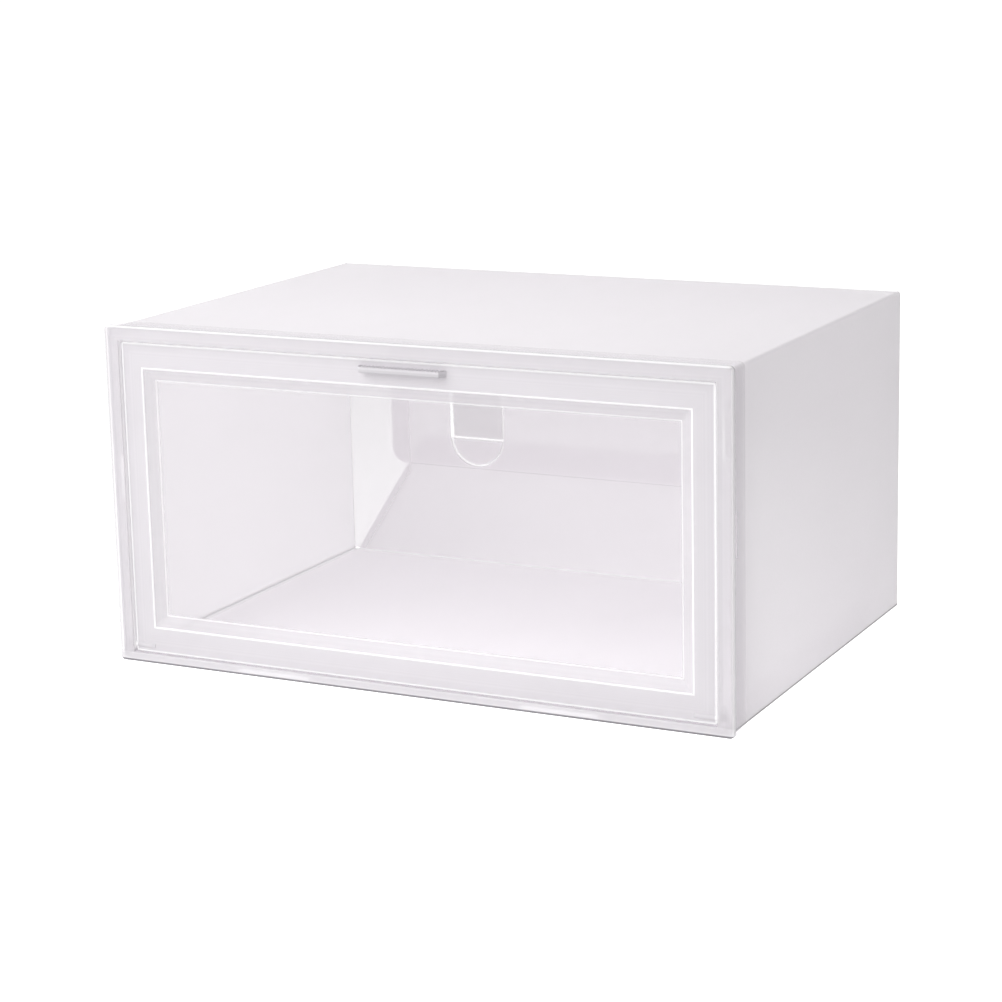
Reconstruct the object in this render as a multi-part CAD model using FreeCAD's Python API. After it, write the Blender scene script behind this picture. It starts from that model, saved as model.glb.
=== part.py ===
import FreeCAD, Part
import math
import os

# Drop-front shoe box: a folded sheet body, a moulded front frame and a moulded drop door.
# Millimetres. +X right, +Y to the rear, +Z up. The origin is the middle of the footprint.

# Overall size
WIDTH = 350.0             # front frame, left to right
HEIGHT = 180.0            # front frame, base to top
DEPTH = 250.0             # face of the frame to the rearmost tongue

# Folded sheet
SHEET = 0.8               # thickness of the sheet
FOLD_RADIUS = 1.6         # outside radius of the four long corners
FOLD_WEB = 0.1            # crushed web between two panels of a fixed fold
FLAP_GAP = 0.3            # air at a fold that swings, and between flap layers
GLUE_LINE = 0.05          # between the glue flap and the panel it is welded to
GLUE_FLAP = 15.0          # height of the welded strip above its fold
GLUE_MITRE_DROP = 12.0    # slanted ends of the strip
GLUE_MITRE_RUN = 7.5

# Rear flaps
UPPER_FLAP_INSET = 29.5   # side of the body to the upper flap's edge
UPPER_FLAP_FOOT = 57.5    # underside of the body to the upper flap's free edge
UPPER_FLAP_CORNER = 9.0   # rounding of its two free corners
LOWER_FLAP_HEIGHT = 75.3  # underside of the body to the lower flap's free edge
LOWER_FLAP_TAPER = 48.0   # each side comes in this far from the fold to the free edge
LOWER_FLAP_CORNER = 6.0
DUST_FLAP_TUCK = 12.0     # dust flap inside the upper flap's edge
DUST_FLAP_LAP = 4.0       # dust flap inside the lower flap's edge
DUST_FLAP_FOOT = 2.0      # underside of the body to the dust flap's lowest corner
DUST_FLAP_HEAD = 2.5      # top of the body to the dust flap's top edge
DUST_FLAP_CORNER = 4.0

# Lock tongues, cut out of the upper flap and tucked over the lower one
TONGUE_WIDTH = 34.0
TONGUE_KERF = 0.4         # cut round a tongue
TONGUE_PLACE = 0.5        # middle of a tongue, as a share of the half width of the body
TONGUE_OVERLAP = 15.8     # tip of the tongue below the lower flap's free edge
TONGUE_RISE = 35.2        # fold of the tongue above the lower flap's free edge
TONGUE_CREST = 1.5        # end of its slope above the lower flap's free edge

# Front frame
FRAME_PROUD = 1.5         # frame outside the sheet body, all round
FRAME_WALL = 1.3          # outer skirt
FRAME_FACE = 1.8          # front web
FRAME_CORNER = 2.5
FRAME_EDGE = 1.0          # rounding of the outer front edge
OPENING_EDGE = 0.6        # rounding of the opening's front edge
SKIRT_DEPTH = 15.0        # outer skirt, from the frame's face
INNER_SKIRT = 1.2        # inner skirt, which holds the sheet against the outer one
INNER_SKIRT_DEPTH = 12.0
INNER_CORNER = 1.0
SEAT_GAP = 0.2            # sheet to frame, each side
RAIL_SIDE = 8.8           # visible width of the frame's rails
RAIL_TOP = 7.8
RAIL_BOTTOM = 5.0
JAMB_WALL = 1.5           # wall round the door opening
STOP_LEDGE = 5.0          # ledge that the door closes against
STOP_THICK = 1.5
STOP_START = 14.0         # bottom end of the side ledges
SILL_TOP = 13.0           # top of the upstand behind the door's bottom edge
SILL_THICK = 1.5
SILL_SETBACK = 1.0        # upstand behind the sweep of the door's bottom edge

# Snap barbs of the frame and the slots of the sheet
SNAP_LENGTH = 22.0
SNAP_START = 6.3          # barb's square face, from the frame's face
SNAP_RAMP = 3.0
SNAP_GAP = 0.3            # barb to slot, each side
RAIL_SNAPS = (42.0, 126.0)      # middles, left and right of centre, top and bottom rail
SIDE_SNAP_HEIGHT = 98.0
LUG_LENGTH = 43.0         # locating lugs of the bottom rail
LUG_PLACE = 81.5          # middle of a lug, left and right of centre
LUG_DEPTH = 4.0

# Drop door
DOOR_GAP = 0.5            # door to opening, all round
DOOR_RECESS = 2.0         # door behind the frame's face
DOOR_FLANGE = 2.0         # thickness of the border
STOP_GAP = 0.3            # closed door to the stop ledge
BORDER_SIDE = 12.2        # width of the flat border
BORDER_TOP = 13.5
BORDER_BOTTOM = 13.8
BEVEL_WIDTH = 6.5         # slope between border and window
BEVEL_DEPTH = 3.0
WINDOW = 1.6              # thickness of the sunk window and of the slope
DOOR_CORNER = 1.2
DOOR_EDGE = 0.5
BEVEL_CORNER = 1.2        # rounding of the slope's mitred corners
BEVEL_EDGE = 0.6

# Hinge at the door's bottom edge
HINGE_HEIGHT = 3.5        # axis above the door's bottom edge
PIN_RADIUS = 1.5
PIN_LENGTH = 3.7
PIN_FIT = 0.06            # pin to socket, radial
PIN_END_PLAY = 0.3
KNUCKLE_RADIUS = 1.6
KNUCKLE_LENGTH = 12.0
BOSS_WALL = 0.5           # end of the socket
BOSS_HEIGHT = 7.5

# Pull at the door's top edge
PULL_WIDTH = 49.0         # where it meets the door
PULL_TAPER = 2.0          # each end comes in this far at the front
PULL_REACH = 4.5          # from the face of the door
PULL_THICK = 3.0
PULL_DROP = 3.4           # top of the pull below the door's top edge
GRIP_PITCH = 2.0
GRIP_DEPTH = 0.6
GRIP_WIDTH = 1.6          # mouth of a groove

# Places that follow from the sizes
PULL_PROUD = PULL_REACH - DOOR_RECESS
FRONT = PULL_PROUD - (DEPTH + PULL_PROUD) / 2
REAR = FRONT + DEPTH
BODY_HALF = WIDTH / 2 - FRAME_PROUD
BODY_BASE = FRAME_PROUD
BODY_TOP = HEIGHT - FRAME_PROUD
SHEET_FRONT = FRONT + FRAME_FACE + SEAT_GAP
LAYER = SHEET + FLAP_GAP

# Flap layers, from the outside in: tongue tips, lower flap, upper flap, dust flaps
TIP_MID = REAR - SHEET / 2
LOWER_MID = TIP_MID - LAYER
UPPER_MID = LOWER_MID - LAYER
DUST_MID = UPPER_MID - LAYER
FOLD_AIR = SHEET / 2 + FLAP_GAP
UPPER_AXIS_Z = BODY_TOP - SHEET / 2
LOWER_AXIS_Z = BODY_BASE + SHEET / 2
DUST_AXIS_X = BODY_HALF - SHEET - FOLD_AIR
FLOOR_REAR = LOWER_MID - FOLD_AIR
ROOF_REAR = UPPER_MID - FOLD_AIR

GLUE_OUTER = BODY_HALF - SHEET - GLUE_LINE
FLOOR_RIGHT = GLUE_OUTER - FOLD_RADIUS - FOLD_WEB
ROOF_HALF = BODY_HALF - FOLD_RADIUS - FOLD_WEB
UPPER_HALF = BODY_HALF - UPPER_FLAP_INSET
UPPER_FOOT_Z = BODY_BASE + UPPER_FLAP_FOOT
LOWER_HALF = FLOOR_RIGHT - FLAP_GAP
LOWER_TOP_Z = BODY_BASE + LOWER_FLAP_HEIGHT
TONGUE_AXIS_Z = LOWER_TOP_Z + TONGUE_RISE
TONGUE_TIP_Z = LOWER_TOP_Z - TONGUE_OVERLAP
DUST_INNER = UPPER_HALF - DUST_FLAP_TUCK
DUST_WIDTH = DUST_AXIS_X - DUST_INNER

OPENING_HALF = WIDTH / 2 - RAIL_SIDE
OPENING_TOP = HEIGHT - RAIL_TOP
DOOR_HALF = OPENING_HALF - DOOR_GAP
DOOR_BASE = RAIL_BOTTOM + DOOR_GAP
DOOR_TOP = OPENING_TOP - DOOR_GAP
DOOR_FACE = FRONT + DOOR_RECESS
DOOR_BACK = DOOR_FACE + DOOR_FLANGE
HINGE_Y = DOOR_FACE + DOOR_FLANGE / 2
HINGE_Z = DOOR_BASE + HINGE_HEIGHT
STOP_FRONT = DOOR_BACK + STOP_GAP
STOP_BACK = STOP_FRONT + STOP_THICK
SILL_FRONT = HINGE_Y + HINGE_HEIGHT + SILL_SETBACK
CHANNEL_INNER = FRAME_PROUD + SHEET + SEAT_GAP
BARB_HEIGHT = CHANNEL_INNER - FRAME_PROUD

PARTS = "parts"
MARGIN = 1.0              # how far a cutting body runs past what it cuts
NEAR = 1e-4               # two places closer than this are one


def vec(x, y, z):
    return FreeCAD.Vector(x, y, z)


def block(x0, x1, y0, y1, z0, z1):
    """Rectangular block between two corners."""
    return Part.makeBox(x1 - x0, y1 - y0, z1 - z0, vec(x0, y0, z0))


def rod_x(x0, x1, y, z, radius):
    """Round rod along X."""
    return Part.makeCylinder(radius, x1 - x0, vec(x0, y, z), vec(1, 0, 0))


def joined(*shapes):
    """One solid without seams from pieces that touch or overlap."""
    return shapes[0].fuse(list(shapes[1:])).removeSplitter()


def arc_step(centre, radius, start_deg, end_deg):
    """Arc of an outline: its middle point and its end point."""
    points = []
    for angle in ((start_deg + end_deg) / 2, end_deg):
        radians = math.radians(angle)
        points += [centre[0] + radius * math.cos(radians), centre[1] + radius * math.sin(radians)]
    return points


def outline(place, start, steps):
    """Face from a start point and steps: (u, v) is a line, (u, v, u, v) an arc by middle and end."""
    edges = []
    here = start
    for step in list(steps) + [start]:
        end = tuple(step[-2:])
        if len(step) == 4:
            edges.append(Part.Arc(place(*here), place(*step[:2]), place(*end)).toShape())
        elif math.dist(here, end) > NEAR:
            edges.append(Part.LineSegment(place(*here), place(*end)).toShape())
        here = end
    return Part.Face(Part.Wire(edges))


def plate_xz(start, steps, y_mid):
    """Sheet in the XZ plane, its thickness centred on y_mid."""
    face = outline(lambda x, z: vec(x, y_mid - SHEET / 2, z), start, steps)
    return face.extrude(vec(0, SHEET, 0))


def long_panel(start, steps, y0, y1):
    """Folded section in XZ, drawn out along Y."""
    return outline(lambda x, z: vec(x, y0, z), start, steps).extrude(vec(0, y1 - y0, 0))


def mirrored_x(shape):
    return shape.mirror(vec(0, 0, 0), vec(1, 0, 0))


def rounded_prism(inset, corner, y0, y1):
    """Frame-shaped prism, inset from the outside of the frame."""
    half = WIDTH / 2 - inset
    prism = block(-half, half, y0, y1, inset, HEIGHT - inset)
    along_y = [edge for edge in prism.Edges if edge.BoundBox.YLength > (y1 - y0) / 2]
    return prism.makeFillet(corner, along_y)


def edges_on_plane(shape, y, half, low, high):
    """Edges in the plane y that run along the rectangle ±half, low to high."""
    found = []
    for edge in shape.Edges:
        box = edge.BoundBox
        in_plane = abs(box.YMin - y) < NEAR and abs(box.YMax - y) < NEAR
        mid = edge.valueAt((edge.FirstParameter + edge.LastParameter) / 2)
        on_side = abs(abs(mid.x) - half) < FRAME_CORNER
        on_rail = abs(mid.z - low) < FRAME_CORNER or abs(mid.z - high) < FRAME_CORNER
        inside = abs(mid.x) < half + MARGIN and low - MARGIN < mid.z < high + MARGIN
        if in_plane and inside and (on_side or on_rail):
            found.append(edge)
    return found


# ---- folded sheet body ----

def snap_slots():
    """Slots and notches that the sheet needs for the frame's barbs and lugs."""
    half = SNAP_LENGTH / 2 + SNAP_GAP
    y0 = FRONT + SNAP_START - SNAP_GAP
    y1 = FRONT + SNAP_START + SNAP_RAMP + SNAP_GAP
    cuts = []
    for place in RAIL_SNAPS:
        for x in (-place, place):
            cuts.append(block(x - half, x + half, y0, y1, -MARGIN, HEIGHT + MARGIN))
    z = SIDE_SNAP_HEIGHT
    cuts.append(block(-WIDTH, WIDTH, y0, y1, z - half, z + half))
    return cuts


def lug_notches():
    half = LUG_LENGTH / 2 + SNAP_GAP
    y1 = FRONT + FRAME_FACE + LUG_DEPTH + SNAP_GAP
    notches = []
    for x in (-LUG_PLACE, LUG_PLACE):
        notches.append(block(x - half, x + half, FRONT, y1, -MARGIN, HEIGHT / 2))
    return notches


def top_panel():
    roof = block(-ROOF_HALF, ROOF_HALF, SHEET_FRONT, ROOF_REAR, BODY_TOP - SHEET, BODY_TOP)
    return roof.cut(snap_slots())


def bottom_panel():
    floor = block(-ROOF_HALF, FLOOR_RIGHT, SHEET_FRONT, FLOOR_REAR, BODY_BASE, BODY_BASE + SHEET)
    return floor.cut(snap_slots() + lug_notches())


def left_panel():
    """Side wall with a rounded fold along its top and its bottom."""
    outer = -BODY_HALF
    low = (outer + FOLD_RADIUS, BODY_BASE + FOLD_RADIUS)
    high = (outer + FOLD_RADIUS, BODY_TOP - FOLD_RADIUS)
    inside = FOLD_RADIUS - SHEET
    steps = [
        arc_step(low, FOLD_RADIUS, 270, 180),
        (outer, high[1]),
        arc_step(high, FOLD_RADIUS, 180, 90),
        (high[0], BODY_TOP - SHEET),
        arc_step(high, inside, 90, 180),
        (outer + SHEET, low[1]),
        arc_step(low, inside, 180, 270),
    ]
    wall = long_panel((low[0], BODY_BASE), steps, SHEET_FRONT, FLOOR_REAR)
    return wall.cut(snap_slots())


def right_panel():
    """Side wall with a fold along its top only: the glue flap is welded inside its foot."""
    outer = BODY_HALF
    high = (outer - FOLD_RADIUS, BODY_TOP - FOLD_RADIUS)
    foot = BODY_BASE + SHEET
    steps = [
        (outer, high[1]),
        arc_step(high, FOLD_RADIUS, 0, 90),
        (high[0], BODY_TOP - SHEET),
        arc_step(high, FOLD_RADIUS - SHEET, 90, 0),
        (outer - SHEET, foot),
    ]
    wall = long_panel((outer, foot), steps, SHEET_FRONT, FLOOR_REAR)
    return wall.cut(snap_slots())


def glue_flap():
    """Strip folded up from the floor and welded inside the right wall, with mitred ends."""
    centre = (GLUE_OUTER - FOLD_RADIUS, BODY_BASE + FOLD_RADIUS)
    top = centre[1] + GLUE_FLAP
    y0 = FRONT + SKIRT_DEPTH + FLAP_GAP
    y1 = DUST_MID - DUST_WIDTH - FOLD_RADIUS
    steps = [
        arc_step(centre, FOLD_RADIUS, 270, 360),
        (GLUE_OUTER, top),
        (GLUE_OUTER - SHEET, top),
        (GLUE_OUTER - SHEET, centre[1]),
        arc_step(centre, FOLD_RADIUS - SHEET, 360, 270),
    ]
    strip = long_panel((centre[0], BODY_BASE), steps, y0, y1)
    for end, inward in ((y0, 1), (y1, -1)):
        corner = [
            vec(centre[0] - MARGIN, end, top - GLUE_MITRE_DROP),
            vec(centre[0] - MARGIN, end, top + MARGIN),
            vec(centre[0] - MARGIN, end + inward * GLUE_MITRE_RUN, top + MARGIN),
        ]
        wedge = Part.Face(Part.makePolygon(corner + corner[:1]))
        strip = strip.cut(wedge.extrude(vec(2 * FOLD_RADIUS + MARGIN, 0, 0)))
    return strip


# ---- rear flaps ----

def tongue_outline(x, grow):
    """U shape of a tongue, or of its cut, through the whole stack of flaps."""
    radius = TONGUE_WIDTH / 2 + grow
    turn = (x, TONGUE_TIP_Z + TONGUE_WIDTH / 2)
    head = TONGUE_AXIS_Z + SHEET / 2 + grow
    steps = [
        arc_step(turn, radius, 180, 360),
        (x + radius, head),
        (x - radius, head),
    ]
    y0 = DUST_MID
    face = outline(lambda u, w: vec(u, y0, w), (x - radius, turn[1]), steps)
    return face.extrude(vec(0, REAR + MARGIN - y0, 0))


def tongue_places():
    return (-BODY_HALF * TONGUE_PLACE, BODY_HALF * TONGUE_PLACE)


def rear_upper_flap():
    """Flap from the roof's rear fold, with a window where each tongue was cut out."""
    radius = UPPER_FLAP_CORNER
    low = UPPER_FOOT_Z + radius
    side = UPPER_HALF - radius
    steps = [
        arc_step((-side, low), radius, 180, 270),
        (side, UPPER_FOOT_Z),
        arc_step((side, low), radius, 270, 360),
        (UPPER_HALF, UPPER_AXIS_Z),
        (-UPPER_HALF, UPPER_AXIS_Z),
    ]
    plate = plate_xz((-UPPER_HALF, low), steps, UPPER_MID)
    fold = rod_x(-UPPER_HALF, UPPER_HALF, UPPER_MID, UPPER_AXIS_Z, SHEET / 2)
    flap = joined(plate, fold)
    return flap.cut([tongue_outline(x, TONGUE_KERF) for x in tongue_places()])


def corner_edges(plate):
    """Edges through the thickness of an upright sheet."""
    return [edge for edge in plate.Edges if edge.BoundBox.XLength + edge.BoundBox.ZLength < NEAR]


def lower_side(z):
    """Half width of the lower flap at a height."""
    share = (z - LOWER_AXIS_Z) / (LOWER_TOP_Z - LOWER_AXIS_Z)
    return LOWER_HALF - LOWER_FLAP_TAPER * share


def rear_lower_flap():
    """Tapered flap from the floor's rear fold."""
    head = lower_side(LOWER_TOP_Z)
    steps = [
        (LOWER_HALF, LOWER_AXIS_Z),
        (head, LOWER_TOP_Z),
        (-head, LOWER_TOP_Z),
    ]
    plate = plate_xz((-LOWER_HALF, LOWER_AXIS_Z), steps, LOWER_MID)
    upper = [edge for edge in corner_edges(plate) if edge.BoundBox.ZMin > LOWER_AXIS_Z + MARGIN]
    plate = plate.makeFillet(LOWER_FLAP_CORNER, upper)
    fold = rod_x(-LOWER_HALF, LOWER_HALF, LOWER_MID, LOWER_AXIS_Z, SHEET / 2)
    return joined(plate, fold)


def dust_flap():
    """Right dust flap: it follows the edges of the other two flaps and laps over both."""
    slope = LOWER_FLAP_TAPER / (LOWER_TOP_Z - LOWER_AXIS_Z)
    lap = DUST_FLAP_LAP * math.hypot(1, slope)
    foot = BODY_BASE + DUST_FLAP_FOOT
    head = BODY_TOP - DUST_FLAP_HEAD
    knee = LOWER_AXIS_Z + (LOWER_HALF - lap - DUST_INNER) / slope
    steps = [
        (lower_side(foot) - lap, foot),
        (DUST_INNER, knee),
        (DUST_INNER, head),
        (DUST_AXIS_X, head),
    ]
    plate = plate_xz((DUST_AXIS_X, foot), steps, DUST_MID)
    inner = [edge for edge in corner_edges(plate)
             if edge.BoundBox.XMax < DUST_AXIS_X - MARGIN and edge.BoundBox.ZMin > foot + MARGIN]
    plate = plate.makeFillet(DUST_FLAP_CORNER, inner)
    fold = Part.makeCylinder(SHEET / 2, head - foot, vec(DUST_AXIS_X, DUST_MID, foot))
    return joined(plate, fold)


def lock_tongue(x):
    """Tongue that slopes out through its window and lies outside the lower flap."""
    crest = LOWER_TOP_Z + TONGUE_CREST
    run = TIP_MID - UPPER_MID
    rise = TONGUE_AXIS_Z - crest
    half = SHEET / 2
    lean = math.atan2(run, rise)
    off_y = half * math.cos(lean)
    off_z = half * math.sin(lean)
    kink = half * math.tan(lean / 2)
    foot = TONGUE_TIP_Z - MARGIN
    steps = [
        (TIP_MID - half, crest - kink),
        (TIP_MID - half, foot),
        (TIP_MID + half, foot),
        (TIP_MID + half, crest + kink),
        (UPPER_MID + off_y, TONGUE_AXIS_Z + off_z),
    ]
    start = (UPPER_MID - off_y, TONGUE_AXIS_Z - off_z)
    radius = TONGUE_WIDTH / 2
    face = outline(lambda y, z: vec(x - radius, y, z), start, steps)
    strip = face.extrude(vec(TONGUE_WIDTH, 0, 0))
    fold = rod_x(x - radius, x + radius, UPPER_MID, TONGUE_AXIS_Z, half)
    return joined(strip, fold).common(tongue_outline(x, 0.0))


# ---- front frame ----

def barb(length):
    """Ramped barb, lying along X on z = 0 and pointing up."""
    profile = [
        vec(-length / 2, FRONT + SNAP_START, -MARGIN / 2),
        vec(-length / 2, FRONT + SNAP_START, BARB_HEIGHT),
        vec(-length / 2, FRONT + SNAP_START + SNAP_RAMP, 0),
        vec(-length / 2, FRONT + SNAP_START + SNAP_RAMP, -MARGIN / 2),
    ]
    face = Part.Face(Part.makePolygon(profile + profile[:1]))
    return face.extrude(vec(length, 0, 0))


def barbs():
    """Barbs on the inner skirt, pointing out into the sheet's slots."""
    pieces = []
    for place in RAIL_SNAPS:
        for x in (-place, place):
            up = barb(SNAP_LENGTH)
            up.translate(vec(x, 0, HEIGHT - CHANNEL_INNER))
            down = barb(SNAP_LENGTH)
            down.rotate(vec(0, 0, 0), vec(0, 1, 0), 180)
            down.translate(vec(x, 0, CHANNEL_INNER))
            pieces += [up, down]
    for side in (-1, 1):
        out = barb(SNAP_LENGTH)
        out.rotate(vec(0, 0, 0), vec(0, 1, 0), side * 90)
        out.translate(vec(side * (WIDTH / 2 - CHANNEL_INNER), 0, SIDE_SNAP_HEIGHT))
        pieces.append(out)
    return pieces


def lugs():
    """Blocks in the bottom channel that the notched floor sheet drops round."""
    pieces = []
    for x in (-LUG_PLACE, LUG_PLACE):
        y0 = FRONT + FRAME_FACE / 2
        y1 = FRONT + FRAME_FACE + LUG_DEPTH
        half = LUG_LENGTH / 2
        pieces.append(block(x - half, x + half, y0, y1, FRAME_WALL / 2, CHANNEL_INNER + MARGIN / 2))
    return pieces


def frame_shell():
    """Front web with two skirts that make a channel for the sheet."""
    shell = rounded_prism(0, FRAME_CORNER, FRONT, FRONT + SKIRT_DEPTH)
    shell = shell.makeFillet(FRAME_EDGE, edges_on_plane(shell, FRONT, WIDTH / 2, 0, HEIGHT))
    inner_corner = FRAME_CORNER - FRAME_WALL
    hollow = rounded_prism(FRAME_WALL, inner_corner, FRONT + FRAME_FACE, FRONT + SKIRT_DEPTH + MARGIN)
    shell = shell.cut(hollow)
    web = FRONT + FRAME_FACE / 2
    skirt = rounded_prism(CHANNEL_INNER, INNER_CORNER, web, FRONT + INNER_SKIRT_DEPTH)
    bore = rounded_prism(CHANNEL_INNER + INNER_SKIRT, INNER_CORNER, web - MARGIN, REAR)
    return joined(shell, skirt.cut(bore))


def jambs():
    """Walls round the opening, the stop ledge, the sill and the hinge bosses."""
    outer = OPENING_HALF + JAMB_WALL
    web = FRONT + FRAME_FACE / 2
    ring = block(-outer, outer, web, STOP_BACK, RAIL_BOTTOM - JAMB_WALL, OPENING_TOP + JAMB_WALL)
    sill_back = SILL_FRONT + SILL_THICK
    sill = block(-outer, outer, web, sill_back, RAIL_BOTTOM - JAMB_WALL, SILL_TOP)
    clear_sill = block(-OPENING_HALF, OPENING_HALF, FRONT, SILL_FRONT, RAIL_BOTTOM, SILL_TOP + MARGIN)
    ledge_half = OPENING_HALF - STOP_LEDGE
    clear_ring = [
        block(-OPENING_HALF, OPENING_HALF, FRONT, STOP_FRONT, RAIL_BOTTOM, OPENING_TOP),
        block(-OPENING_HALF, OPENING_HALF, FRONT, STOP_BACK + MARGIN, RAIL_BOTTOM, STOP_START),
        block(-ledge_half, ledge_half, FRONT, STOP_BACK + MARGIN, RAIL_BOTTOM, OPENING_TOP - STOP_LEDGE),
    ]
    pieces = [ring.cut(clear_ring), sill.cut(clear_sill)]
    boss_end = DOOR_HALF + PIN_LENGTH + PIN_END_PLAY + BOSS_WALL
    for side in (-1, 1):
        x0, x1 = sorted((side * OPENING_HALF, side * boss_end))
        pieces.append(block(x0, x1, web, STOP_BACK, RAIL_BOTTOM - JAMB_WALL, RAIL_BOTTOM + BOSS_HEIGHT))
    return pieces


def front_frame():
    """Frame moulding: shell, jambs, barbs and lugs, with the opening and the hinge sockets."""
    frame = joined(frame_shell(), *jambs(), *barbs(), *lugs())
    opening = block(-OPENING_HALF, OPENING_HALF, FRONT - MARGIN, FRONT + FRAME_FACE, RAIL_BOTTOM, OPENING_TOP)
    frame = frame.cut(opening)
    rim = edges_on_plane(frame, FRONT, OPENING_HALF, RAIL_BOTTOM, OPENING_TOP)
    frame = frame.makeFillet(OPENING_EDGE, rim)
    depth = DOOR_HALF + PIN_LENGTH + PIN_END_PLAY
    socket = rod_x(-depth, depth, HINGE_Y, HINGE_Z, PIN_RADIUS + PIN_FIT)
    return frame.cut(socket)


# ---- drop door ----

def door_rectangle(inset, y):
    """Rectangle that follows the door's border, moved in from the border's inner edge."""
    half = DOOR_HALF - BORDER_SIDE - inset
    low = DOOR_BASE + BORDER_BOTTOM + inset
    high = DOOR_TOP - BORDER_TOP - inset
    radius = BEVEL_CORNER
    right = half - radius
    bottom = low + radius
    top = high - radius
    steps = [
        (right, low),
        arc_step((right, bottom), radius, 270, 360),
        (half, top),
        arc_step((right, top), radius, 0, 90),
        (-right, high),
        arc_step((-right, top), radius, 90, 180),
        (-half, bottom),
        arc_step((-right, bottom), radius, 180, 270),
    ]
    return outline(lambda x, z: vec(x, y, z), (-right, low), steps).OuterWire


def sunk_block(grow, y0, y1):
    """Block with the slope of the bevel, from y0 back to y1, grown sideways."""
    slope = BEVEL_WIDTH / BEVEL_DEPTH
    front = door_rectangle((y0 - DOOR_FACE) * slope - grow, y0)
    back = door_rectangle((y1 - DOOR_FACE) * slope - grow, y1)
    return Part.makeLoft([front, back], True, True)


def grip_grooves(z_top):
    """V grooves across the top of the pull."""
    count = int((PULL_WIDTH - 2 * PULL_TAPER) / GRIP_PITCH)
    grooves = []
    for index in range(count):
        x = (index - (count - 1) / 2) * GRIP_PITCH
        half = GRIP_WIDTH / 2
        points = [vec(x - half, DOOR_FACE, z_top), vec(x, DOOR_FACE, z_top - GRIP_DEPTH),
                  vec(x + half, DOOR_FACE, z_top)]
        face = Part.Face(Part.makePolygon(points + points[:1]))
        grooves.append(face.extrude(vec(0, -PULL_REACH - MARGIN, 0)))
    return grooves


def pull():
    """Grooved finger ledge, narrower at its front."""
    z_top = DOOR_TOP - PULL_DROP
    root = PULL_WIDTH / 2
    tip = root - PULL_TAPER
    z0 = z_top - PULL_THICK
    back = DOOR_FACE + DOOR_FLANGE / 2
    points = [vec(-root, back, z0), vec(-root, DOOR_FACE, z0), vec(-tip, DOOR_FACE - PULL_REACH, z0),
              vec(tip, DOOR_FACE - PULL_REACH, z0), vec(root, DOOR_FACE, z0), vec(root, back, z0)]
    ledge = Part.Face(Part.makePolygon(points + points[:1])).extrude(vec(0, 0, PULL_THICK))
    return ledge.cut(grip_grooves(z_top))


def door():
    """Door moulding: border, slope and sunk window, with knuckles, pins and the pull."""
    plate = block(-DOOR_HALF, DOOR_HALF, DOOR_FACE, DOOR_BACK, DOOR_BASE, DOOR_TOP)
    corners = [edge for edge in plate.Edges if edge.BoundBox.YLength > DOOR_FLANGE / 2]
    plate = plate.makeFillet(DOOR_CORNER, corners)
    plate = plate.makeFillet(DOOR_EDGE, edges_on_plane(plate, DOOR_FACE, DOOR_HALF, DOOR_BASE, DOOR_TOP))
    window_face = DOOR_FACE + BEVEL_DEPTH
    wall = WINDOW / math.sin(math.atan2(BEVEL_DEPTH, BEVEL_WIDTH))
    mould = joined(plate, sunk_block(wall, DOOR_FACE + DOOR_FLANGE / 2, window_face + WINDOW))
    mould = mould.cut(sunk_block(0, DOOR_FACE, window_face))
    half = DOOR_HALF - BORDER_SIDE
    lip = edges_on_plane(mould, DOOR_FACE, half, DOOR_BASE + BORDER_BOTTOM, DOOR_TOP - BORDER_TOP)
    sunk = edges_on_plane(mould, window_face, half - BEVEL_WIDTH, DOOR_BASE + BORDER_BOTTOM + BEVEL_WIDTH,
                          DOOR_TOP - BORDER_TOP - BEVEL_WIDTH)
    mould = mould.makeFillet(BEVEL_EDGE, lip + sunk)
    pieces = [pull()]
    for side in (-1, 1):
        x0, x1 = sorted((side * (DOOR_HALF - KNUCKLE_LENGTH), side * DOOR_HALF))
        pieces.append(rod_x(x0, x1, HINGE_Y, HINGE_Z, KNUCKLE_RADIUS))
        x0, x1 = sorted((side * (DOOR_HALF - MARGIN), side * (DOOR_HALF + PIN_LENGTH)))
        pieces.append(rod_x(x0, x1, HINGE_Y, HINGE_Z, PIN_RADIUS))
    return joined(mould, *pieces)


def main():
    os.makedirs(PARTS, exist_ok=True)
    right_dust = dust_flap()
    left_tongue, right_tongue = [lock_tongue(x) for x in tongue_places()]
    nodes = {
        "top_panel": top_panel(),
        "bottom_panel": bottom_panel(),
        "left_panel": left_panel(),
        "right_panel": right_panel(),
        "glue_flap": glue_flap(),
        "rear_upper_flap": rear_upper_flap(),
        "rear_lower_flap": rear_lower_flap(),
        "dust_flap_left": mirrored_x(right_dust),
        "dust_flap_right": right_dust,
        "lock_tongue_left": left_tongue,
        "lock_tongue_right": right_tongue,
        "front_frame": front_frame(),
        "door": door(),
    }
    for name, shape in nodes.items():
        solid = shape.Solids[0]
        if len(shape.Solids) != 1 or not shape.isValid():
            raise ValueError(f"{name} is not one valid solid")
        solid.exportStep(f"{PARTS}/{name}.step")
        box = solid.BoundBox
        print(f"{name}: {solid.Volume / 1000:.2f} cm3, x {box.XMin:.2f} {box.XMax:.2f},"
              f" y {box.YMin:.2f} {box.YMax:.2f}, z {box.ZMin:.2f} {box.ZMax:.2f}")


main()
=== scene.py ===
"""Finish of a drop-front shoe box: frosted folded sheet, clear frame and clear drop door."""

import math

import bpy
from mathutils import Matrix, Vector


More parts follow.
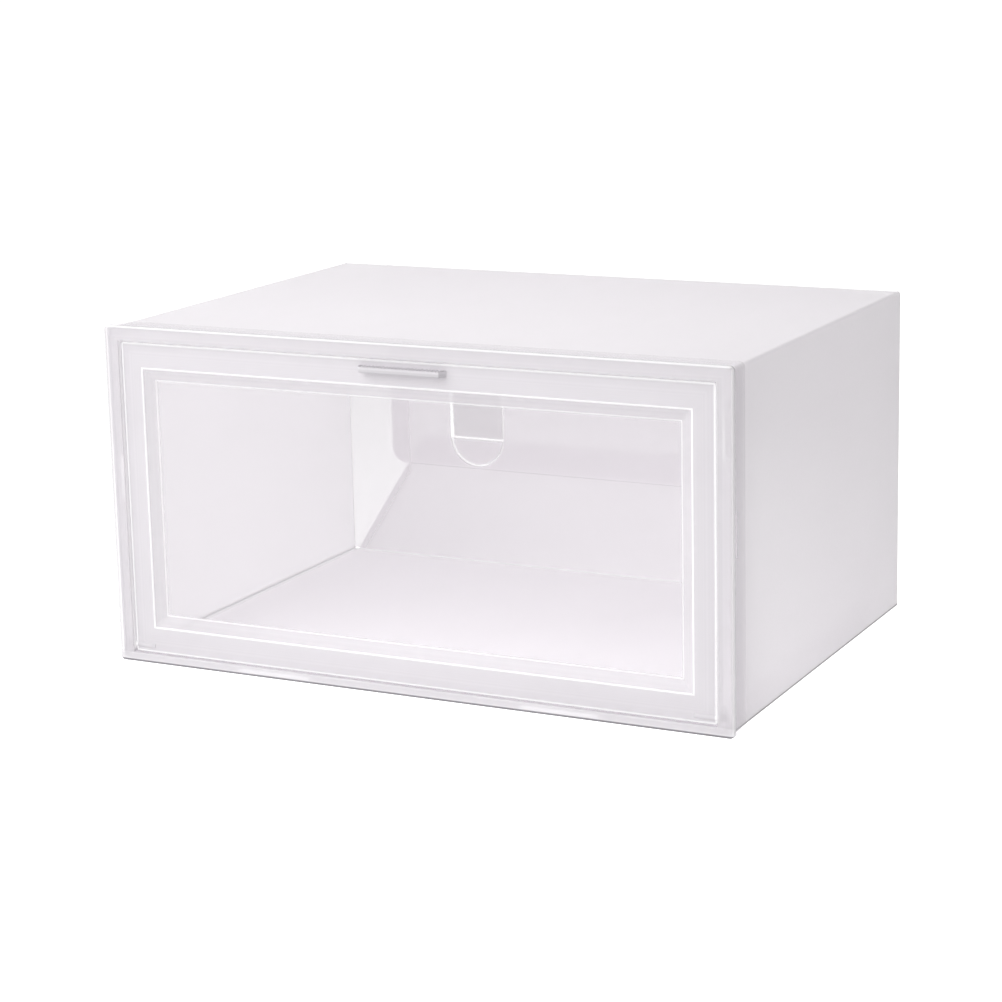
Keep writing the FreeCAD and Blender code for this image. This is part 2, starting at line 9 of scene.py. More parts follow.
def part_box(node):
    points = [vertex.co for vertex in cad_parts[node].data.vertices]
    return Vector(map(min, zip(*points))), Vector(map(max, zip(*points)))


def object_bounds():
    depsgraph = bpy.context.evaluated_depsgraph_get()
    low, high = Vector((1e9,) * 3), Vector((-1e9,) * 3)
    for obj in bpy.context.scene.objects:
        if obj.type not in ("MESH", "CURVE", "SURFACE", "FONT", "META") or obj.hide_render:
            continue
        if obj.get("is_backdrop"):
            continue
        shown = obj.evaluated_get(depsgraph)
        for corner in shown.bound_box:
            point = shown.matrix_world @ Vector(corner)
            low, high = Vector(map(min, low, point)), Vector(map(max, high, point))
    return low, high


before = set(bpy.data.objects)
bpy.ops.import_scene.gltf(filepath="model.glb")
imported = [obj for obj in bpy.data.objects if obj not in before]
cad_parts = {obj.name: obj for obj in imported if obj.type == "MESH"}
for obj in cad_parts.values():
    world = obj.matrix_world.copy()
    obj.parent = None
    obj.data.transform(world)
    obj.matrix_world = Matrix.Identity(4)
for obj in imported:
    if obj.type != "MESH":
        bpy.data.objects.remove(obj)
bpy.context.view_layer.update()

bl_info = {
    "name": "Drop-Front Shoe Box Finish",
    "version": (1, 0, 0),
    "blender": (4, 5, 0),
    "location": "3D View > Sidebar > Shoe Box",
    "description": "Dresses the shoe box's sheet body, flaps, frame and door, and sets up its stage",
    "category": "Object",
}

MM = 0.001
WHITE = (1.0, 1.0, 1.0, 1.0)

WALLS = ("top_panel", "left_panel", "right_panel")
TONGUES = ("lock_tongue_left", "lock_tongue_right")
DUST_FLAPS = ("dust_flap_left", "dust_flap_right")

# Frosted sheet
CLOUD_SIZE = 60 * MM
STREAK_SIZE = 12 * MM
GRAIN_DEPTH = 0.006 * MM

# Clear mouldings
FLOW_SIZE = 35 * MM
RIPPLE_SIZE = 18 * MM
RIPPLE_DEPTH = 0.02 * MM
# Painted reflection streaks: density of the tone bands that follow the outline
REFLECTION_RINGS_PER_METRE = 700.0
SHADE = (0.28, 0.27, 0.29, 1.0)
FACE_ON = (0.992, 0.989, 0.992, 1.0)
EDGE_ON = (0.88, 0.87, 0.885, 1.0)

# Front frame and door, with heights from the frame's foot
RAIL_SIDE = 8.8 * MM
DOOR_GAP = 0.5 * MM
DOOR_RECESS = 2.0 * MM
DOOR_WALL = 2.0 * MM
DOOR_BORDER = 12.2 * MM
DOOR_SLOPE = 6.5 * MM
LIP_BOTTOM = 19.3 * MM
LIP_TOP = 158.2 * MM
SLOPE_DEPTH = 3.0 * MM
KNUCKLE_TOP = 10.6 * MM
KNUCKLE_LENGTH = 12.0 * MM
PULL_TOP = 168.3 * MM
PULL_HEIGHT = 3.0 * MM
PULL_HALF = 24.5 * MM
GROOVE_PITCH = 2.0 * MM

# Stage
FLOOR_SIZE = 40.0
FLOOR_DROP = 0.2 * MM
GLOW_NEAR = 0.28
GLOW_FAR = 0.80
BACKDROP = 1.05
KEY_PLACE = (-0.75, -1.40, 1.21)
SENSOR = 36.0


# ---- settings ----

class SheetSettings(bpy.types.PropertyGroup):
    """Frosted sheet of the body and the rear flaps."""

    tint: bpy.props.FloatVectorProperty(
        name="Tint", description="Colour of the frosted sheet",
        subtype="COLOR", size=3, min=0.0, max=1.0, default=(0.975, 0.963, 0.975))
    clarity: bpy.props.FloatProperty(
        name="Clarity", description="Share of light that passes straight through",
        subtype="FACTOR", min=0.0, max=1.0, default=0.20)
    rear_clarity: bpy.props.FloatProperty(
        name="Rear Clarity", description="Clarity of the two rear flaps and their tongues",
        subtype="FACTOR", min=0.0, max=1.0, default=0.19)
    rear_glow: bpy.props.FloatProperty(
        name="Rear Glow", description="Glow of the two rear flaps and their tongues",
        subtype="FACTOR", min=0.0, max=1.0, default=0.25)
    floor_clarity: bpy.props.FloatProperty(
        name="Floor Clarity", description="Clarity of the bottom panel",
        subtype="FACTOR", min=0.0, max=1.0, default=0.08)
    floor_glow: bpy.props.FloatProperty(
        name="Floor Glow", description="Glow of the bottom panel",
        subtype="FACTOR", min=0.0, max=1.0, default=0.40)
    glue_clarity: bpy.props.FloatProperty(
        name="Glue Flap Clarity", description="Clarity of the welded glue flap",
        subtype="FACTOR", min=0.0, max=1.0, default=0.75)
    dust_clarity: bpy.props.FloatProperty(
        name="Dust Flap Clarity", description="Clarity of the two dust flaps",
        subtype="FACTOR", min=0.0, max=1.0, default=0.52)
    glow: bpy.props.FloatProperty(
        name="Glow", description="Share of the rest that is scattered through to the other side",
        subtype="FACTOR", min=0.0, max=1.0, default=0.5)
    grain: bpy.props.FloatProperty(
        name="Grain", description="Size of the matt grain",
        subtype="DISTANCE", unit="LENGTH", min=0.0001, default=0.0012)
    # Width of the painted highlight line along a fold or cut edge; it also sets the width of the painted
    # shadow at the walls' foot
    crease: bpy.props.FloatProperty(
        name="Crease", description="Width of the whitened line along a fold or a cut",
        subtype="DISTANCE", unit="LENGTH", min=0.0001, default=0.0010)


class MouldingSettings(bpy.types.PropertyGroup):
    """Clear mouldings: the front frame and the door."""

    tint: bpy.props.FloatVectorProperty(
        name="Tint", description="Colour of the clear moulding",
        subtype="COLOR", size=3, min=0.0, max=1.0, default=(0.755, 0.738, 0.76))
    frame_clarity: bpy.props.FloatProperty(
        name="Frame Clarity", description="How clear the front frame's rails are",
        subtype="FACTOR", min=0.0, max=1.0, default=0.48)
    sill_haze: bpy.props.FloatProperty(
        name="Sill Haze", description="How much hazier the rail below the door is",
        subtype="FACTOR", min=0.0, max=1.0, default=0.55)
    skirt_clarity: bpy.props.FloatProperty(
        name="Skirt Clarity", description="How clear the frame's skirts over the sheet are",
        subtype="FACTOR", min=0.0, max=1.0, default=0.94)
    border_clarity: bpy.props.FloatProperty(
        name="Border Clarity", description="How clear the door's border is",
        subtype="FACTOR", min=0.0, max=1.0, default=0.26)
    slope_clarity: bpy.props.FloatProperty(
        name="Slope Clarity", description="How clear the door's slope between border and window is",
        subtype="FACTOR", min=0.0, max=1.0, default=0.62)
    window_clarity: bpy.props.FloatProperty(
        name="Window Clarity", description="How clear the door's sunk window is",
        subtype="FACTOR", min=0.0, max=1.0, default=0.95)
    roughness: bpy.props.FloatProperty(
        name="Roughness", description="Roughness of the polished faces",
        subtype="FACTOR", min=0.0, max=1.0, default=0.12)
    edge: bpy.props.FloatProperty(
        name="Edge", description="Width of the light that gathers along a moulded edge",
        subtype="DISTANCE", unit="LENGTH", min=0.0001, default=0.0009)


class StageSettings(bpy.types.PropertyGroup):
    """Floor, lights and camera."""

    floor: bpy.props.FloatVectorProperty(
        name="Floor", description="Colour of the floor",
        subtype="COLOR", size=3, min=0.0, max=1.0, default=(0.35, 0.35, 0.35))
    glow: bpy.props.FloatProperty(
        name="Floor Glow", description="Light that comes up through the floor, as on a light table",
        min=0.0, default=0.67)
    far_glow: bpy.props.FloatProperty(
        name="Far Glow", description="What is left of it away from the box", min=0.0, default=0.44)
    lift: bpy.props.FloatProperty(
        name="Floor Lift", description="Light added where the floor itself is seen", min=0.0, default=0.52)
    fill: bpy.props.FloatProperty(
        name="Fill", description="Strength of the light from all round", min=0.0, default=0.40)
    key: bpy.props.FloatProperty(
        name="Key", description="Power of the wide soft light at the upper left",
        unit="POWER", min=0.0, default=50.0)
    key_size: bpy.props.FloatProperty(
        name="Key Size", description="Side of the soft light",
        subtype="DISTANCE", unit="LENGTH", min=0.01, default=2.1)
    lens: bpy.props.FloatProperty(
        name="Lens", description="Focal length of the camera", unit="CAMERA", min=1.0, default=95.49)
    distance: bpy.props.FloatVectorProperty(
        name="Camera Place", description="Camera from the middle of the box body",
        subtype="XYZ", size=3, unit="LENGTH", default=(0.6231, -1.2460, 0.3128))
    turn: bpy.props.FloatProperty(
        name="Turn", description="Camera's turn to the left", subtype="ANGLE", default=0.4615)
    tilt: bpy.props.FloatProperty(
        name="Tilt", description="Camera's tilt down", subtype="ANGLE", default=0.2135)
    roll: bpy.props.FloatProperty(
        name="Roll", description="Camera's roll", subtype="ANGLE", default=-0.0207)
    shift: bpy.props.FloatVectorProperty(
        name="Shift", description="Lens shift", subtype="XYZ", size=2, default=(-0.0208, -0.0488))


# ---- material graph ----

class Graph:
    """A material's nodes, with the place on the piece in metres as x, y and z."""

    def __init__(self, name):
        self.material = bpy.data.materials.new(name)
        self.material.use_nodes = True
        self.tree = self.material.node_tree
        self.tree.nodes.clear()
        self.point = self.add("ShaderNodeTexCoord").outputs["Object"]
        self.x, self.y, self.z = self.add("ShaderNodeSeparateXYZ", {"Vector": self.point}).outputs

    def add(self, kind, inputs=None, **settings):
        """New node with its settings and its inputs."""
        node = self.tree.nodes.new(kind)
        for key, value in settings.items():
            setattr(node, key, value)
        for key, value in (inputs or {}).items():
            self.put(node.inputs[key], value)
        return node

    def put(self, socket, value):
        """Links a socket's value, or sets a plain one."""
        if isinstance(value, bpy.types.NodeSocket):
            self.tree.links.new(value, socket)
        else:
            socket.default_value = value

    def math(self, operation, *values):
        node = self.add("ShaderNodeMath", operation=operation)
        for socket, value in zip(node.inputs, values):
            self.put(socket, value)
        return node.outputs["Value"]

    def rest(self, share):
        """What a share leaves of the whole."""
        return self.math("SUBTRACT", 1.0, share)

    def aside(self):
        """Distance from the middle plane, on either side."""
        return self.math("ABSOLUTE", self.x)

    def largest(self, *values):
        result = values[0]
        for value in values[1:]:
            result = self.math("MAXIMUM", result, value)
        return result

    def times(self, *values):
        result = values[0]
        for value in values[1:]:
            result = self.math("MULTIPLY", result, value)
        return result

    def fade(self, value, low, high):
        """1 up to low, falling smoothly to 0 at high."""
        node = self.add("ShaderNodeMapRange", {
            "Value": value, "From Min": low, "From Max": high, "To Min": 1.0, "To Max": 0.0,
        }, interpolation_type="SMOOTHSTEP")
        return node.outputs["Result"]

    def line(self, distance, width):
        """Soft line of this width where a distance is 0."""
        return self.fade(self.math("ABSOLUTE", distance), width * 0.3, width * 0.7)

    def band(self, axis, place, width):
        """Soft line across one axis at a place."""
        return self.line(self.math("SUBTRACT", axis, place), width)

    def box_distance(self, half, low, high):
        """Distance outside the upright rectangle ±half, low to high, negative inside."""
        mid = (low + high) / 2
        side = self.math("SUBTRACT", self.aside(), half)
        lift = self.math("ABSOLUTE", self.math("SUBTRACT", self.z, mid))
        return self.largest(side, self.math("SUBTRACT", lift, (high - low) / 2))

    def noise(self, size, detail=2.0, stretch=(1.0, 1.0, 1.0)):
        """Noise with features of about this size, drawn out by stretch."""
        place = self.add("ShaderNodeMapping", {
            "Vector": self.point, "Scale": tuple(1.0 / (size * share) for share in stretch),
        })
        node = self.add("ShaderNodeTexNoise", {
            "Vector": place.outputs["Vector"], "Scale": 1.0, "Detail": detail, "Roughness": 0.55,
        })
        return node.outputs["Fac"]

    def spread(self, value, low, high):
        """Carries 0..1 over to low..high."""
        node = self.add("ShaderNodeMapRange", {"Value": value, "To Min": low, "To Max": high})
        return node.outputs["Result"]

    def blend_colour(self, share, first, second):
        node = self.add("ShaderNodeMix", data_type="RGBA")
        self.put(node.inputs[0], share)
        self.put(node.inputs[6], first)
        self.put(node.inputs[7], second)
        return node.outputs[2]

    def blend_shader(self, share, first, second):
        node = self.add("ShaderNodeMixShader")
        self.put(node.inputs[0], share)
        self.tree.links.new(first, node.inputs[1])
        self.tree.links.new(second, node.inputs[2])
        return node.outputs["Shader"]

    def bump(self, height, depth):
        node = self.add("ShaderNodeBump", {"Height": height, "Strength": 1.0, "Distance": depth})
        return node.outputs["Normal"]

    def finish(self, shader):
        out = self.add("ShaderNodeOutputMaterial")
        self.tree.links.new(shader, out.inputs["Surface"])
        return self.material


def colour(rgb, share=1.0):
    return (rgb[0] * share, rgb[1] * share, rgb[2] * share, 1.0)


def frosted_sheet(name, settings, painted_light=None, painted_shade=None, clarity=None, glow=None):
    """Frosted polypropylene with a matt grain and faint clouding.

    Its light mask gives painted highlight lines, pale and clearer, and its shade mask gives painted shade,
    where it is darker and less clear.
    """
    graph = Graph(name)
    grain = graph.noise(settings.grain, detail=3.0)
    cloud = graph.noise(CLOUD_SIZE)
    streak = graph.noise(STREAK_SIZE, stretch=(1.0, 9.0, 1.0))
    tone = graph.math("ADD", graph.times(cloud, 0.6), graph.times(streak, 0.4))
    base = graph.blend_colour(tone, colour(settings.tint, 0.985), colour(settings.tint, 1.015))
    share = settings.clarity if clarity is None else clarity
    clear = graph.spread(grain, share * 0.92, share * 1.08)
    if painted_shade is not None:
        # Painted shade: darker and less clear where the shade mask says
        shade_share = painted_shade(graph)
        base = graph.blend_colour(shade_share, base, colour(settings.tint, 0.30))
        clear = graph.times(clear, graph.rest(shade_share))
    if painted_light is not None:
        # Painted highlights: pale, clearer lines along folds and cut edges
        lines = painted_light(graph)
        base = graph.blend_colour(lines, base, WHITE)
        clear = graph.largest(clear, graph.times(lines, 0.75))
    shine = graph.add("ShaderNodeBsdfPrincipled", {
        "Base Color": base,
        "Roughness": graph.spread(grain, 0.40, 0.56),
        "Specular IOR Level": 0.45,
        "Normal": graph.bump(grain, GRAIN_DEPTH),
    })
    lit = graph.add("ShaderNodeBsdfTranslucent", {"Color": base})
    scatter = settings.glow if glow is None else glow
    body = graph.blend_shader(scatter, shine.outputs["BSDF"], lit.outputs["BSDF"])
    through = graph.add("ShaderNodeBsdfTransparent", {"Color": WHITE})
    return graph.finish(graph.blend_shader(clear, body, through.outputs["BSDF"]))


def clear_moulding(name, settings, look):
    """Clear moulded plastic with faint streaks along its rails: painted reflection streaks over a tone that
    varies at random.

    look(graph) gives how clear it is, its painted highlight lines, its painted shade and the distance from
    its outline.
    """
    graph = Graph(name)
    clear, lines, shade_mask, inward = look(graph)
    # Painted reflection streaks: lighter and darker bands that follow the outline, over random tone
    flow = graph.noise(FLOW_SIZE, stretch=(3.0, 1.0, 1.0))
    reflection_rings = graph.add("ShaderNodeTexNoise", {
        "W": graph.times(inward, REFLECTION_RINGS_PER_METRE), "Scale": 1.0, "Detail": 1.0,
    }, noise_dimensions="1D").outputs["Fac"]
    streak = graph.math("ADD", graph.times(flow, 0.3), graph.times(reflection_rings, 0.7))
    base = graph.blend_colour(streak, colour(settings.tint, 0.90), colour(settings.tint, 1.10))
    # Painted shade: the shaded parts are blended to the shade colour
    base = graph.blend_colour(shade_mask, base, SHADE)
    # Painted highlights: the lines are blended to white and made less clear
    base = graph.blend_colour(lines, base, WHITE)
    clear = graph.times(clear, graph.rest(graph.times(lines, 0.9)))
    ripple = graph.bump(graph.noise(RIPPLE_SIZE, detail=1.0), RIPPLE_DEPTH)
    body = graph.add("ShaderNodeBsdfPrincipled", {
        "Base Color": base,
        "Roughness": graph.spread(flow, settings.roughness * 0.8, settings.roughness * 1.3),
        "IOR": 1.49,
        "Normal": ripple,
    })
    glow = graph.add("ShaderNodeBsdfTranslucent", {"Color": base})
    haze = graph.blend_shader(0.35, body.outputs["BSDF"], glow.outputs["BSDF"])
    away = graph.add("ShaderNodeLayerWeight", {"Blend": 0.5, "Normal": ripple}).outputs["Facing"]
    depth = graph.math("POWER", away, 3.0)
    through = graph.add("ShaderNodeBsdfTransparent", {
        "Color": graph.blend_colour(depth, FACE_ON, EDGE_ON),
    })
    mirror = graph.add("ShaderNodeBsdfGlossy", {"Color": WHITE, "Roughness": 0.05, "Normal": ripple})
    gloss = graph.spread(graph.math("POWER", away, 5.0), 0.03, 0.45)
    pane = graph.blend_shader(gloss, through.outputs["BSDF"], mirror.outputs["BSDF"])
    return graph.finish(graph.blend_shader(clear, haze, pane))


def dress(node, material):
    """Gives a carried-over piece its material."""
    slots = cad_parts[node].material_slots
    if not slots:
        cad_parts[node].data.materials.append(material)
    for place in slots:
        place.material = material


# ---- operators ----

class SHOEBOX_OT_sheet_body(bpy.types.Operator):
    """Dress the four walls and the glue flap of the folded sheet"""

    bl_idname = "shoebox.sheet_body"
    bl_label = "Sheet Body"

    def execute(self, context):
        settings = context.scene.shoebox_sheet
        low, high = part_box("bottom_panel")
        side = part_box("right_panel")[1].x
        crease = settings.crease

        def inner_face(graph):
            """1 inside the side walls, 0 on their outer faces."""
            return graph.fade(graph.aside(), side - crease * 0.7, side - crease * 0.3)

        # Painted light: a pale line along the floor's rear fold, and a fainter one along its side edges over
        # the shade of the crease with the walls
        def floor_fold_light(graph):
            rear = graph.times(graph.band(graph.y, high.y, crease * 2), 0.5)
            edge = graph.band(graph.aside(), high.x, crease * 3)
            return graph.largest(rear, graph.times(edge, 0.3))

        # Painted light: the walls' inner faces are paled along the foot, over the shade of the crease with
        # the floor
        def wall_foot_light(graph):
            foot = graph.fade(graph.z, low.z + crease * 1.5, low.z + crease * 2.5)
            return graph.times(foot, inner_face(graph), 0.3)

        # Painted shadow: a thin dark, less clear line along the foot of the walls' outer faces, as a contact
        # shadow
        def painted_foot_shadow(graph):
            foot = graph.fade(graph.z, low.z + crease * 1.4, low.z + crease * 2.1)
            return graph.times(foot, graph.rest(inner_face(graph)), 0.8)

        wall = frosted_sheet("frosted_wall", settings, wall_foot_light, painted_foot_shadow)
        for node in WALLS:
            dress(node, wall)
        floor = frosted_sheet(
            "frosted_floor", settings, floor_fold_light, clarity=settings.floor_clarity, glow=settings.floor_glow)
        dress("bottom_panel", floor)
        dress("glue_flap", frosted_sheet("frosted_glue_flap", settings, clarity=settings.glue_clarity))
        return {"FINISHED"}


class SHOEBOX_OT_rear_flaps(bpy.types.Operator):
    """Dress the rear flaps and the two lock tongues"""

    bl_idname = "shoebox.rear_flaps"
    bl_label = "Rear Flaps"

    def execute(self, context):
        settings = context.scene.shoebox_sheet
        crease = settings.crease
        tongue_low, tongue_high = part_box(TONGUES[1])
        radius = (tongue_high.x - tongue_low.x) / 2
        middle = (tongue_high.x + tongue_low.x) / 2
        turn = tongue_low.z + radius
        lower_low, lower_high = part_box("rear_lower_flap")
        upper_low, upper_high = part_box("rear_upper_flap")

        def u_line(graph):
            """Painted highlight line along the U cut of either tongue."""
            across = graph.math("SUBTRACT", graph.aside(), middle)
            drop = graph.math("MINIMUM", graph.math("SUBTRACT", graph.z, turn), 0.0)
            far = graph.math("SQRT", graph.math("ADD", graph.times(across, across), graph.times(drop, drop)))
            return graph.line(graph.math("SUBTRACT", far, radius), crease * 1.6)

        # Painted highlights along the upper flap's U cut, its foot and its side edge
        def upper_lines(graph):
            below = graph.fade(graph.z, tongue_high.z, tongue_high.z + crease)
            foot = graph.band(graph.z, upper_low.z, crease)
            side = graph.band(graph.aside(), upper_high.x, crease)
            return graph.largest(
                graph.times(u_line(graph), below),
                graph.times(foot, 0.5),
                graph.times(side, 0.5),
            )

        # Painted highlights along the lower flap's top edge and fold, and where the tongues' U edge lies over
        # it
        def lower_lines(graph):
            top = graph.band(graph.z, lower_high.z, crease * 1.6)
            fold = graph.band(graph.z, lower_low.z, crease * 2.4)
            return graph.largest(
                graph.times(top, 0.8),
                graph.times(fold, 0.5),
                graph.times(u_line(graph), 0.8),
            )

        # Painted highlights along the tongue's U edge and across it at the lower flap's top edge
        def tongue_lines(graph):
            return graph.largest(u_line(graph), graph.band(graph.z, lower_high.z, crease * 1.6))

        # Painted shade: the tongue is darker and less clear above the lower flap's top edge
        def tongue_upper_shade(graph):
            rise = graph.fade(graph.z, lower_high.z, lower_high.z + crease)
            return graph.times(graph.rest(rise), 0.13)

        clarity, glow = settings.rear_clarity, settings.rear_glow
        upper = frosted_sheet("frosted_upper_flap", settings, upper_lines, clarity=clarity, glow=glow)
        dress("rear_upper_flap", upper)
        lower = frosted_sheet("frosted_lower_flap", settings, lower_lines, clarity=clarity, glow=glow)
        dress("rear_lower_flap", lower)
        tongue = frosted_sheet("frosted_tongue", settings, tongue_lines, tongue_upper_shade, clarity, glow)
        for node in TONGUES:
            dress(node, tongue)
        dust = frosted_sheet("frosted_dust_flap", settings, clarity=settings.dust_clarity)
        for node in DUST_FLAPS:
            dress(node, dust)
        return {"FINISHED"}


class SHOEBOX_OT_front_frame(bpy.types.Operator):
    """Dress the clear front frame"""

    bl_idname = "shoebox.front_frame"
    bl_label = "Front Frame"

    def execute(self, context):
        settings = context.scene.shoebox_moulding
        low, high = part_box("front_frame")
        door_low, door_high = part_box("door")

        def look(graph):
            outer = graph.box_distance(high.x, low.z, high.z)
            face = graph.fade(graph.y, low.y + 1.0 * MM, low.y + 2.0 * MM)
            # Painted highlight along the frame's outer front edge
            rim = graph.times(graph.line(outer, settings.edge * 1.7), face, 0.8)
            skin = graph.fade(graph.y, low.y + 0.8 * MM, low.y + 1.2 * MM)
            # Painted shadow: a dark line along the front foot, as a contact shadow
            foot = graph.times(graph.fade(graph.z, low.z + 1.1 * MM, low.z + 1.6 * MM), skin)
            open_foot = graph.rest(foot)
            web = graph.fade(graph.y, low.y + 2.4 * MM, low.y + 3.0 * MM)
            clear = graph.spread(web, settings.skirt_clarity, settings.frame_clarity)
            inner = graph.box_distance(high.x - RAIL_SIDE, door_low.z - DOOR_GAP, door_high.z + DOOR_GAP)
            behind = graph.rest(graph.fade(graph.y, low.y + 0.2 * MM, low.y + 0.6 * MM))
            above = graph.rest(graph.fade(graph.z, door_low.z, door_low.z + 2.0 * MM))
            # Painted light: the reveal round the door opening is paled and made clear, over the shade in the
            # gap
            reveal = graph.times(graph.line(inner, 1.6 * MM), behind, above)
            below = graph.fade(graph.z, door_low.z - 1.0 * MM, door_low.z)
            sill = graph.times(below, skin, settings.sill_haze)
            clear = graph.times(clear, graph.rest(sill))
            clear = graph.largest(clear, graph.times(reveal, 0.93))
            lines = graph.largest(rim, graph.times(reveal, 0.9))
            return graph.times(clear, open_foot), graph.times(lines, open_foot), foot, outer

        dress("front_frame", clear_moulding("clear_frame", settings, look))
        return {"FINISHED"}


class SHOEBOX_OT_door(bpy.types.Operator):
    """Dress the clear drop door and its grooved pull"""

    bl_idname = "shoebox.door"
    bl_label = "Drop Door"

    def execute(self, context):
        settings = context.scene.shoebox_moulding
        low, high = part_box("door")
        frame_low, frame_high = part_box("front_frame")
        half = frame_high.x - RAIL_SIDE - DOOR_GAP
        lip_half = half - DOOR_BORDER
        lip_low, lip_high = frame_low.z + LIP_BOTTOM, frame_low.z + LIP_TOP
        face = frame_low.y + DOOR_RECESS
        knuckle_top = frame_low.z + KNUCKLE_TOP
        pull_top = frame_low.z + PULL_TOP
        pull_foot = pull_top - PULL_HEIGHT

        def look(graph):
            outer = graph.box_distance(half, low.z, high.z)
            lip = graph.box_distance(lip_half, lip_low, lip_high)
            sunk = graph.box_distance(lip_half - DOOR_SLOPE, lip_low + DOOR_SLOPE, lip_high - DOOR_SLOPE)
            window = graph.fade(sunk, -0.3 * MM, 0.3 * MM)
            border_share = graph.fade(lip, -0.5 * MM, 0.5 * MM)
            off_wall = graph.math("ABSOLUTE", graph.math("SUBTRACT", graph.y, face + DOOR_WALL / 2))
            on_wall = graph.fade(off_wall, DOOR_WALL / 2 + 0.05 * MM, DOOR_WALL / 2 + 0.2 * MM)
            knuckle_end = graph.times(
                graph.rest(on_wall),
                graph.fade(graph.z, knuckle_top + 0.3 * MM, knuckle_top + 0.6 * MM),
                graph.band(graph.aside(), half - KNUCKLE_LENGTH, 0.2 * MM),
            )
            clear = graph.largest(
                graph.spread(border_share, settings.border_clarity, settings.slope_clarity),
                graph.times(window, settings.window_clarity),
                graph.times(knuckle_end, 0.95),
            )
            front = graph.fade(graph.y, face + 0.5 * MM, face + 0.9 * MM)
            step = graph.fade(graph.y, face + SLOPE_DEPTH + 0.5 * MM, face + SLOPE_DEPTH + 0.9 * MM)
            # Painted highlights along the door's outline, the lip and the sunk window's edge
            lines = graph.largest(
                graph.times(graph.line(outer, settings.edge * 2.4), front),
                graph.times(graph.line(lip, settings.edge), front, 0.95),
                graph.times(graph.line(sunk, settings.edge), step, 0.55),
            )
            proud = graph.times(
                graph.fade(graph.y, face - 0.6 * MM, face - 0.2 * MM),
                graph.rest(graph.fade(graph.z, pull_foot - 1.0 * MM, pull_foot - 0.5 * MM)),
            )
            tip = graph.fade(graph.y, low.y + 0.9 * MM, low.y + 1.6 * MM)
            top = graph.rest(graph.fade(graph.z, pull_top - 0.3 * MM, pull_top - 0.1 * MM))
            under = graph.fade(graph.z, pull_foot + 0.1 * MM, pull_foot + 0.4 * MM)
            lower_half = graph.fade(graph.z, pull_foot + 1.4 * MM, pull_foot + 1.8 * MM)
            groove = graph.math("PINGPONG", graph.math("ADD", graph.x, PULL_HALF), GROOVE_PITCH / 2)
            groove = graph.fade(groove, 0.2 * MM, 0.8 * MM)
            # Painted shade on the pull: dark grooves on its top, shadow under its tip and a darker lower half
            shade = graph.largest(
                graph.times(top, graph.spread(groove, 0.30, 0.75)),
                graph.times(tip, under, 0.45),
                graph.times(lower_half, 0.20),
            )
            solid = graph.rest(graph.times(proud, 0.5))
            return graph.times(clear, solid), lines, graph.times(proud, shade), outer

        dress("door", clear_moulding("clear_door", settings, look))
        return {"FINISHED"}


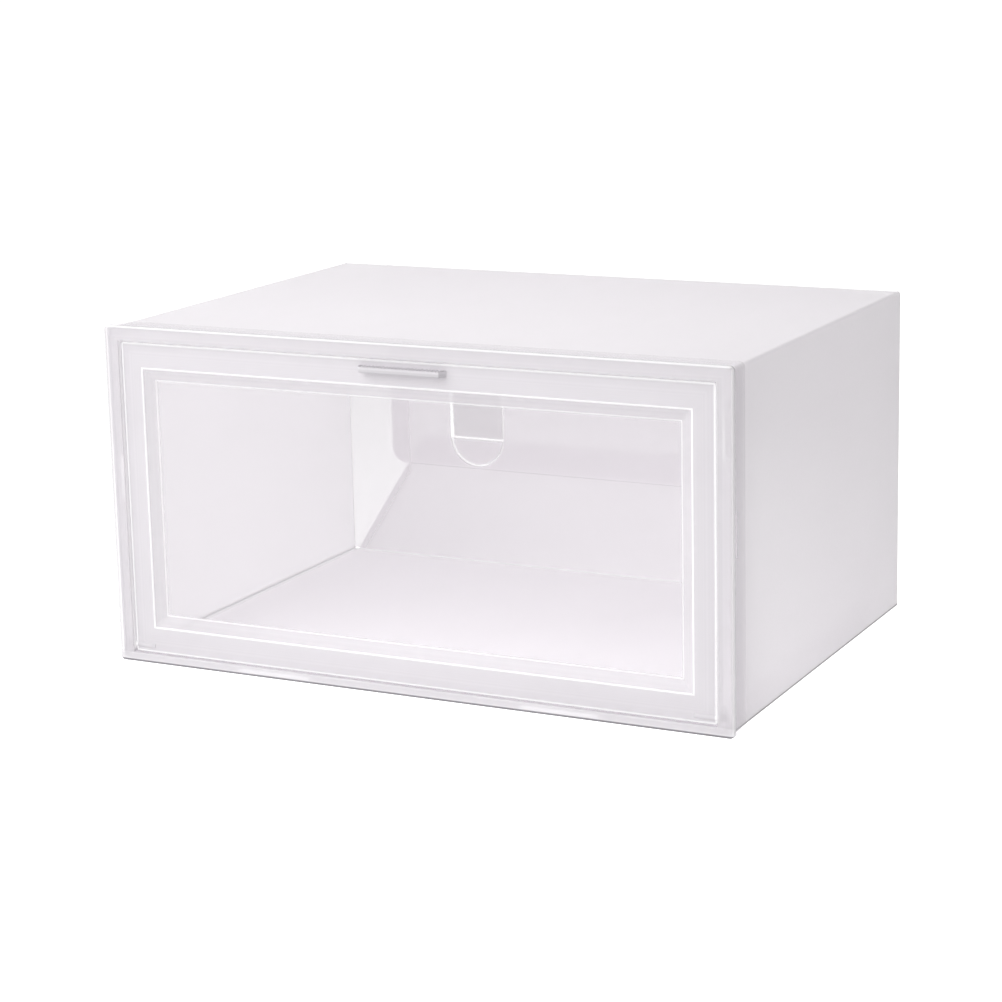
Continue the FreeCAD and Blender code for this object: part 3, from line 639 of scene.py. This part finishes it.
class SHOEBOX_OT_stage(bpy.types.Operator):
    """Set up the pale floor, the soft lights and the camera"""

    bl_idname = "shoebox.stage"
    bl_label = "Stage"

    def execute(self, context):
        settings = context.scene.shoebox_stage
        self.add_floor(settings)
        self.add_lights(context, settings)
        self.add_camera(context, settings)
        return {"FINISHED"}

    def add_floor(self, settings):
        bpy.ops.object.select_all(action="DESELECT")
        bpy.ops.mesh.primitive_plane_add(size=FLOOR_SIZE, location=(0.0, 0.0, -FLOOR_DROP))
        floor = bpy.context.object
        floor.name = "studio_floor"
        graph = Graph("studio_floor")
        matt = graph.add("ShaderNodeBsdfDiffuse", {"Color": colour(settings.floor)})
        far = graph.add("ShaderNodeVectorMath", {0: graph.point}, operation="LENGTH").outputs["Value"]
        table = graph.spread(graph.fade(far, GLOW_NEAR, GLOW_FAR), settings.far_glow, settings.glow)
        seen = graph.add("ShaderNodeLightPath").outputs["Is Camera Ray"]
        strength = graph.math("ADD", table, graph.times(seen, settings.lift))
        glow = graph.add("ShaderNodeEmission", {"Color": WHITE, "Strength": strength})
        both = graph.add("ShaderNodeAddShader")
        graph.tree.links.new(matt.outputs["BSDF"], both.inputs[0])
        graph.tree.links.new(glow.outputs["Emission"], both.inputs[1])
        floor.data.materials.append(graph.finish(both.outputs["Shader"]))
        floor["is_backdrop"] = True

    def add_lights(self, context, settings):
        world = bpy.data.worlds.new("studio")
        context.scene.world = world
        world.use_nodes = True
        tree = world.node_tree
        tree.nodes.clear()
        fill = tree.nodes.new("ShaderNodeBackground")
        fill.inputs["Color"].default_value = WHITE
        fill.inputs["Strength"].default_value = settings.fill
        backdrop = tree.nodes.new("ShaderNodeBackground")
        backdrop.inputs["Color"].default_value = WHITE
        backdrop.inputs["Strength"].default_value = BACKDROP
        path = tree.nodes.new("ShaderNodeLightPath")
        pick = tree.nodes.new("ShaderNodeMixShader")
        out = tree.nodes.new("ShaderNodeOutputWorld")
        tree.links.new(path.outputs["Is Diffuse Ray"], pick.inputs[0])
        tree.links.new(backdrop.outputs[0], pick.inputs[1])
        tree.links.new(fill.outputs[0], pick.inputs[2])
        tree.links.new(pick.outputs[0], out.inputs["Surface"])
        data = bpy.data.lights.new("soft_key", "AREA")
        data.energy = settings.key
        data.size = settings.key_size
        key = bpy.data.objects.new("soft_key", data)
        context.scene.collection.objects.link(key)
        place = Vector(KEY_PLACE)
        key.location = place
        key.rotation_euler = place.to_track_quat("Z", "Y").to_euler()
        key.visible_camera = False
        key.visible_glossy = False

    def add_camera(self, context, settings):
        data = bpy.data.cameras.new("camera")
        data.lens = settings.lens
        data.sensor_width = SENSOR
        data.shift_x, data.shift_y = settings.shift
        camera = bpy.data.objects.new("camera", data)
        context.scene.collection.objects.link(camera)
        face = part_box("front_frame")[0].y
        low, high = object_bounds()
        middle = Vector((0.0, (face + high.y) / 2, (low.z + high.z) / 2))
        camera.location = middle + Vector(settings.distance)
        turned = Matrix.Rotation(settings.turn, 3, "Z") @ Matrix.Rotation(math.pi / 2 - settings.tilt, 3, "X")
        camera.rotation_euler = (turned @ Matrix.Rotation(settings.roll, 3, "Z")).to_euler()
        context.scene.camera = camera
        context.scene.view_settings.view_transform = "Standard"
        context.scene.cycles.transparent_max_bounces = 24
        context.scene.cycles.max_bounces = 16
        context.scene.cycles.diffuse_bounces = 12


class SHOEBOX_PT_panel(bpy.types.Panel):
    """Shoe box tools"""

    bl_idname = "SHOEBOX_PT_panel"
    bl_label = "Shoe Box"
    bl_space_type = "VIEW_3D"
    bl_region_type = "UI"
    bl_category = "Shoe Box"

    def draw(self, context):
        layout = self.layout
        for operator in OPERATORS:
            layout.operator(operator.bl_idname)


SETTINGS = {
    "shoebox_sheet": SheetSettings,
    "shoebox_moulding": MouldingSettings,
    "shoebox_stage": StageSettings,
}
OPERATORS = (
    SHOEBOX_OT_sheet_body,
    SHOEBOX_OT_rear_flaps,
    SHOEBOX_OT_front_frame,
    SHOEBOX_OT_door,
    SHOEBOX_OT_stage,
)


def register():
    for cls in (*SETTINGS.values(), *OPERATORS, SHOEBOX_PT_panel):
        bpy.utils.register_class(cls)
    for name, group in SETTINGS.items():
        setattr(bpy.types.Scene, name, bpy.props.PointerProperty(type=group))


def unregister():
    for name in SETTINGS:
        delattr(bpy.types.Scene, name)
    for cls in (SHOEBOX_PT_panel, *reversed(OPERATORS), *SETTINGS.values()):
        bpy.utils.unregister_class(cls)


def main():
    register()
    bpy.ops.shoebox.sheet_body()
    bpy.ops.shoebox.rear_flaps()
    bpy.ops.shoebox.front_frame()
    bpy.ops.shoebox.door()
    bpy.ops.shoebox.stage()


if __name__ == "__main__":
    main()
